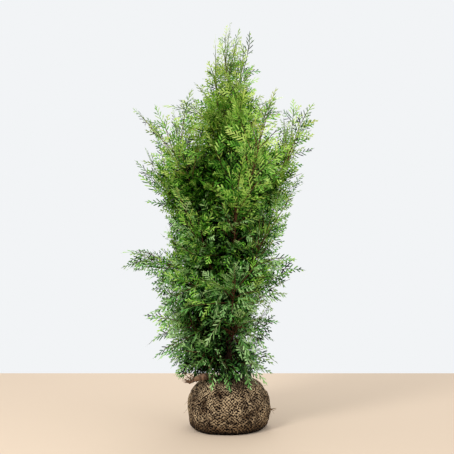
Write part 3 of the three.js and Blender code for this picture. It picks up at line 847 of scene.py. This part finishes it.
def spray_pattern(length, leaf_width, form, seed):
    """One spray in its own plane: points, triangles, and how near the tips each triangle is."""
    number = seeded_numbers(seed)
    pattern = [], [], []
    reach = 11 + 0.17 * length if form == OPEN else 13 + 0.19 * length
    width = leaf_width * PATTERN_WIDTHS[form]
    count = max(5, round(length / PATTERN_STEPS[form]))
    for i in range(count):
        t = (i + 0.8) / count
        size = reach * (1 - 0.6 * t ** 2) * (0.8 + 0.4 * next(number))
        angle = math.radians(SIDE_ANGLE - SIDE_ANGLE_LESS * t + 10 * (next(number) - 0.5))
        lift = 0.5 * (next(number) - 0.5)
        foot = AHEAD * t * length * 0.9
        add_branchlet(pattern, form, number, foot, angle if i % 2 else -angle, size, width, lift, t)
    # The spray's own stem is two narrow branchlets in line
    half = length / 2
    add_branchlet(pattern, form, number, AHEAD * 0, 0, half * 1.1, leaf_width * 0.7, 0, 0.1)
    add_branchlet(pattern, form, number, AHEAD * half, 0, half, leaf_width * 0.8, 0, 0.8)
    return [np.array(values) for values in pattern]


def shade_of(sprays, number):
    """How much painted light each spray's colour gets, from 0 to 1, and how deep in shade it lies: painted
    shade dark inside, lighter at the outline.
    """
    middle = sprays.points(0.7)
    body = body_depth(middle)
    # Painted light falls in from above, so it reaches deeper near the top
    depth = np.maximum(body, 0) * np.interp(middle[:, 2], *SHADE_SHARES)
    # Sprays beyond the full crown's outline are painted up to 0.4 darker, as painted shade of backlit shoots
    lit = np.exp(-np.maximum(depth - LIT_DEPTH, 0) / FADE_DEPTH) * (1 - 0.4 * ramp(-body, 0, 60))
    chance = draws(number, len(body))
    light = lit * (np.interp(middle[:, 2], *PAINTED_BRIGHTNESS) + 0.26 * sprays.tone + chance)
    least = np.where(sprays.mass == ARM_NUMBER, ARM_LIGHT, LEAST_LIGHT)
    least = least * np.clip(1 - body / LEAST_DEPTH, 0, 1)
    return np.clip(np.maximum(light, least), 0, 1), depth


def hue_of(sprays, number):
    """Which row of greens each spray takes: blue-green low down, yellow-green at the top."""
    height = sprays.points(0.7)[:, 2] / PLANT_HEIGHT
    chance = draws(number, len(height)) - 0.5
    return np.clip(np.round(HUE_RISE * height + HUE_START + HUE_CHANCE * chance), 0, len(LEAF_GREENS) - 1)


def spray_meshes(sprays, limbs, crown):
    """Points, triangles and materials of all sprays, as joined arrays for each mass."""
    number = seeded_numbers(7)
    light, depth = shade_of(sprays, number)
    hue = hue_of(sprays, number)
    kind = (draws(number, len(light)) * PATTERN_KINDS).astype(int)
    sizes = np.abs(np.array(PATTERN_LENGTHS) - sprays.length[:, None]).argmin(axis=1)
    young = np.where(sprays.points(1)[:, 2] > YOUNG_HEIGHT, FORKED, OPEN)
    form = np.where(depth > DEEP, COARSE, np.where(openness(sprays) > OPEN_FORMS, young, CLOSE))
    side = unit(np.cross(sprays.face, sprays.along))
    meshes = {mass: [] for mass in range(len(limbs))}
    shades = len(LEAF_GREENS[0])
    for size_number, length in enumerate(PATTERN_LENGTHS):
        for kind_number in range(len(PATTERN_STEPS) * PATTERN_KINDS):
            this = kind_number // PATTERN_KINDS
            pattern, faces, tips = spray_pattern(
                length, crown.leaf_width / MM, this, 20 + size_number * 20 + kind_number)
            mine = (sizes == size_number) & (form == this) & (kind == kind_number % PATTERN_KINDS)
            for i in np.flatnonzero(mine):
                x, y, z = (pattern * (sprays.length[i] / length)).T
                far = x ** 2 / sprays.length[i]
                world = (sprays.start[i] + x[:, None] * sprays.along[i] + far[:, None] * sprays.bend[i]
                         + y[:, None] * side[i] + (z - SPRAY_ARCH * np.abs(y))[:, None] * sprays.face[i])
                # The spray's painted light picks its step of green, forked sprays 0.6 of a step further into
                # painted shade, and tips are lighter green
                base = light[i] * (shades - 1) - 0.6 * (this == FORKED)
                shade = np.clip(base + TIP_SHADES * (tips - 0.5), 0, shades - 1).round()
                meshes[sprays.mass[i]].append((world, faces, hue[i] * shades + shade))
    return meshes


def pieces_of(limbs, meshes):
    """The masses of each piece: of one tier, and together under the most triangles."""
    pieces, weight = [], 0
    for mass, limb in enumerate(limbs):
        faces = sum(len(part[1]) for part in meshes[mass])
        if not pieces or weight + faces > MOST_TRIANGLES or limbs[pieces[-1][-1]].tier != limb.tier:
            pieces.append([])
            weight = 0
        pieces[-1].append(mass)
        weight += faces
    return pieces


# Operators
class THUJA_OT_root_ball(bpy.types.Operator):
    """Make the ball of soil in its hessian wrap."""
    bl_idname = "thuja.root_ball"
    bl_label = "Root ball"

    def execute(self, context):
        settings = context.scene.thuja_ball
        points, faces, weave = ball_mesh(settings)
        cloth = hessian("woven_jute_hessian", settings.thread, "#140C07", "#6E5A44")
        piece = make_piece("hessian_ball", points, faces, [cloth], weave=weave)
        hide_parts("root_ball")
        self.loose_threads(points)
        return {"FINISHED"}

    def loose_threads(self, surface):
        """Broken jute threads that stand out of the wrap."""
        number = seeded_numbers(41)
        out = np.linalg.norm(surface[:, :2], axis=1)
        side = surface[(surface[:, 2] > SAG_HEIGHT) & (out > BALL_FOOT / 3)]
        line = np.linspace(0, 1, 7)[:, None]
        ways = []
        for i in range(LOOSE_THREADS):
            tuft = i % TUFT_EVERY == 0
            root = np.array(TUFT, float) if tuft else side[int(next(number) * len(side))]
            aside = draws(number, 3) - 0.5
            length = (20 if tuft else 12) + 14 * next(number)
            way = unit(unit(root * [1, 1, 0]) * 0.6 + aside * (0.8 if tuft else 2.2))
            ways.append(root + way * length * line + (aside[::-1] * 18 - UP * 8) * line ** 2)
        radii = np.tile(np.linspace(0.9, 0.4, len(line)), (len(ways), 1))
        points, faces = tubes(np.array(ways), radii, 5)
        points[:, 2] = np.maximum(points[:, 2], 0)
        cloth = fibrous_bark("broken_jute_threads", "#A08563", "#5B4530", 5)
        make_piece("loose_jute_threads", points, faces, [cloth])


class THUJA_OT_hessian_knot(bpy.types.Operator):
    """Make the twisted corners of the hessian, knotted over the ball's shoulder."""
    bl_idname = "thuja.hessian_knot"
    bl_label = "Hessian knot"

    def execute(self, context):
        share = np.linspace(0, 1, KNOT_STEPS)[:, None]
        path = curve(np.array(KNOT_LINE, float), share)
        points, faces = joined(self.strands(path, share) + self.tails(path))
        cloth = fibrous_bark("twisted_jute_hessian", "#93745B", "#2A1812", 10)
        piece = make_piece("hessian_twist", points, faces, [cloth])
        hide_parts("hessian_knot")
        return {"FINISHED"}

    def strands(self, path, share):
        """Folded strands of cloth, twisted round one another."""
        radius = KNOT_RADIUS * (0.8 + 0.3 * np.sin(np.pi * share)) * (1 - 0.8 * share ** 2)
        across, over = square_to(unit(np.gradient(path, axis=0)))
        turns = all_round(KNOT_SIDES)
        folds = 1 + 0.22 * np.sin(3 * turns + 9 * share) + 0.16 * np.sin(5 * turns - 24 * share)
        made = []
        for strand in range(KNOT_STRANDS):
            turn = 2 * math.pi * (strand / KNOT_STRANDS + KNOT_TURNS * share)
            line = path + (across * np.cos(turn) + over * np.sin(turn)) * radius * 0.62
            made.append(tubes(line[None], radius.T * 0.46, KNOT_SIDES, folds[None]))
        return made

    def tails(self, path):
        """Frayed threads that leave the end of the knot, each bunch towards its own place."""
        number = seeded_numbers(31)
        line = np.linspace(0, 1, 12)[:, None]
        made = []
        for *tail, count in KNOT_TAILS:
            for _ in range(count):
                aim = np.array(tail, float) + TAIL_SPREAD * (draws(number, 3) - 0.5)
                root = path[int(KNOT_STEPS * (0.7 + 0.28 * next(number)))]
                curl = (draws(number, 3) - (0.5, 0.5, 0.2)) * TAIL_CURL
                way = root + (aim - root) * line + curl * line * (1 - line)
                made.append(tubes(way[None], np.linspace(3.2, 0.6, len(line))[None], 6))
        return made


class THUJA_OT_trunk(bpy.types.Operator):
    """Make the trunk with the relief of its bark."""
    bl_idname = "thuja.trunk"
    bl_label = "Trunk"

    def execute(self, context):
        foot = ball_top() + SEAT_GAP
        # Rings lie closer together at the flare
        height = foot + (TRUNK_TOP - foot) * np.linspace(0, 1, TRUNK_STEPS) ** 1.3
        turns, up = all_round(TRUNK_SIDES), height[:, None]
        ridges = np.sin(11 * turns + 2.5 * np.sin(up / 90)) * np.sin(17 * turns + up / 60)
        relief = 1 + TRUNK_RIDGE * ridges + TRUNK_SWELL * np.sin(5 * turns + up / 25)
        path, radius = trunk_point(height), trunk_radius(height)
        points, faces = tubes(path[None], radius[None], TRUNK_SIDES, relief[None])
        points[:TRUNK_SIDES, 2] = foot
        bark = fibrous_bark("fibrous_thuja_bark", "#4F3B31", "#201512", 6)
        piece = make_piece("bark_trunk", points, faces, [bark])
        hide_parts("trunk")
        return {"FINISHED"}


class THUJA_OT_crown(bpy.types.Operator):
    """Grow the boughs, twigs and leaf sprays from the trunk."""
    bl_idname = "thuja.crown"
    bl_label = "Crown"

    def execute(self, context):
        crown, ball = context.scene.thuja_crown, context.scene.thuja_ball
        limbs = make_limbs(crown.seed)
        branches = grow_branches(limbs, crown, ball)
        self.boughs([limb for limb in limbs if limb.bough])
        self.twigs(limbs, branches)
        self.leaves(limbs, spray_meshes(grow_sprays(branches, ball), limbs, crown))
        return {"FINISHED"}

    def boughs(self, bearing):
        """Tapering limbs with bark, from inside the trunk to where each enters its mass."""
        share, turns = np.linspace(0, 1, BOUGH_STEPS), all_round(BOUGH_SIDES)
        paths = np.stack([limb.points(share * limb.bough) for limb in bearing])
        radii = np.tile(LIMB_RADIUS + (STEM_RADIUS - LIMB_RADIUS) * share, (len(bearing), 1))
        up = share[:, None]
        relief = 1 + BOUGH_RIDGE * np.sin(5 * turns + 9 * up) * np.sin(40 * up + 3 * turns)
        points, faces = tubes(paths, radii, BOUGH_SIDES, relief[None])
        bark = fibrous_bark("fibrous_bough_bark", "#7D543B", "#3E261B", 4)
        piece = make_piece("bark_boughs", points, faces, [bark])
        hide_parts(*[f"bough_{limb.name}" for limb in bearing])

    def twigs(self, limbs, branches):
        """Stems of the masses, and the wood of their branches, green on the young ones at the top."""
        share = np.linspace(0, 1, 12)
        paths = np.stack([limb.points(limb.bough + (1 - limb.bough) * share) for limb in limbs])
        radii = np.tile(STEM_RADIUS + (STEM_TIP_RADIUS - STEM_RADIUS) * share, (len(limbs), 1))
        stems = tubes(paths, radii, 7)
        ways = np.stack([branches.points(share) for share in (0, 0.25, 0.5, 0.7, 0.85)], axis=1)
        thin = np.tile([1.9, 1.7, 1.4, 1.1, 0.7], (len(ways), 1))
        points, faces = joined([stems, tubes(ways, thin, 4)])
        bark = fibrous_bark("young_twig_bark", "#6E4C30", "#3A2718", 3)
        green = fibrous_bark("green_shoot_skin", "#76803E", "#4C5628", 3)
        old = len(stems[1])
        young = np.repeat(branches.points(0.5)[:, 2] > YOUNG_HEIGHT, (len(faces) - old) // len(ways))
        make_piece("twigs", points, faces, [bark, green], np.concatenate([np.zeros(old), young]))

    def leaves(self, limbs, meshes):
        """The leaf sprays, joined by tier."""
        greens = scale_leaves_in_painted_shades()
        for masses in pieces_of(limbs, meshes):
            parts = [part for mass in masses for part in meshes[mass]]
            points, faces = joined([part[:2] for part in parts])
            shades = np.concatenate([part[2] for part in parts])
            name = f"sprays_{limbs[masses[0]].name}"
            piece = make_piece(name, points, faces, greens, shades, smooth=False)
            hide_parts(*[f"foliage_{limbs[mass].name}" for mass in masses])


class THUJA_OT_stage(bpy.types.Operator):
    """Set up the floor, the soft light and the camera."""
    bl_idname = "thuja.stage"
    bl_label = "Stage"

    def execute(self, context):
        settings = context.scene.thuja_stage
        self.floor(settings)
        self.light(context.scene, settings)
        self.camera(context.scene, settings)
        return {"FINISHED"}

    def floor(self, settings):
        """A plain pale floor that ends behind the plant where the surround begins."""
        near, far, side = -7.0, 1.57, 6.0
        mesh = bpy.data.meshes.new("floor")
        corners = [(-side, near, 0), (side, near, 0), (side, far, 0), (-side, far, 0)]
        mesh.from_pydata(corners, [], [(0, 1, 2, 3)])
        # Matt paint, rolled on: even and without shine, so that nothing shows in it
        material, tree, shader = new_material("matt_painted_floor", 0.85, 0.2)
        set_inputs(tree, shader, {"Base Color": (*settings.floor, 1)})
        mesh.materials.append(material)
        link("floor", mesh)

    def light(self, scene, settings):
        """An even pale surround and three soft lamps."""
        world = bpy.data.worlds.new("pale_surround")
        world.use_nodes = True
        tree = world.node_tree
        set_inputs(tree, tree.nodes["Background"], {"Color": (*settings.wall, 1), "Strength": 1.0})
        scene.world = world
        scene.view_settings.view_transform = "Standard"
        for name, place, size, power in LAMPS:
            data = bpy.data.lights.new(name, "AREA")
            data.size, data.energy = size, power
            lamp = link(name, data)
            lamp.location = place
            lamp.rotation_euler = (Vector(LAMPS_AIM) - Vector(place)).to_track_quat("-Z", "Y").to_euler()

    def camera(self, scene, settings):
        """The photo's view: level with the middle of the plant, pitched up a little."""
        data = bpy.data.cameras.new("camera")
        data.lens, data.sensor_width = settings.lens, 36
        scene.camera = link("camera", data)
        scene.camera.location = (CAMERA_ASIDE, -settings.distance, settings.eye)
        scene.camera.rotation_euler = (math.radians(CAMERA_PITCH), 0, 0)


class THUJA_PT_panel(bpy.types.Panel):
    """Sizes and colours of the thuja, and a button for each piece."""
    bl_idname = "THUJA_PT_panel"
    bl_label = "Root-balled thuja"
    bl_space_type = "VIEW_3D"
    bl_region_type = "UI"
    bl_category = "Thuja"

    def draw(self, context):
        for name, group in SETTINGS.items():
            box = self.layout.box()
            for setting in group.__annotations__:
                box.prop(getattr(context.scene, name), setting)
        for operator in OPERATORS:
            self.layout.operator(operator.bl_idname)


SETTINGS = {
    "thuja_ball": ThujaBallSettings, "thuja_crown": ThujaCrownSettings, "thuja_stage": ThujaStageSettings}
OPERATORS = (THUJA_OT_stage, THUJA_OT_root_ball, THUJA_OT_hessian_knot, THUJA_OT_trunk, THUJA_OT_crown)
CLASSES = (*SETTINGS.values(), *OPERATORS, THUJA_PT_panel)


def register():
    for made in CLASSES:
        bpy.utils.register_class(made)
    for name, group in SETTINGS.items():
        setattr(bpy.types.Scene, name, PointerProperty(type=group))


def unregister():
    for name in SETTINGS:
        delattr(bpy.types.Scene, name)
    for made in reversed(CLASSES):
        bpy.utils.unregister_class(made)


def main():
    """Makes every piece in order."""
    register()
    bpy.ops.thuja.stage()
    bpy.ops.thuja.root_ball()
    bpy.ops.thuja.hessian_knot()
    bpy.ops.thuja.trunk()
    bpy.ops.thuja.crown()
    bpy.context.view_layer.update()


if __name__ == "__main__":
    main()
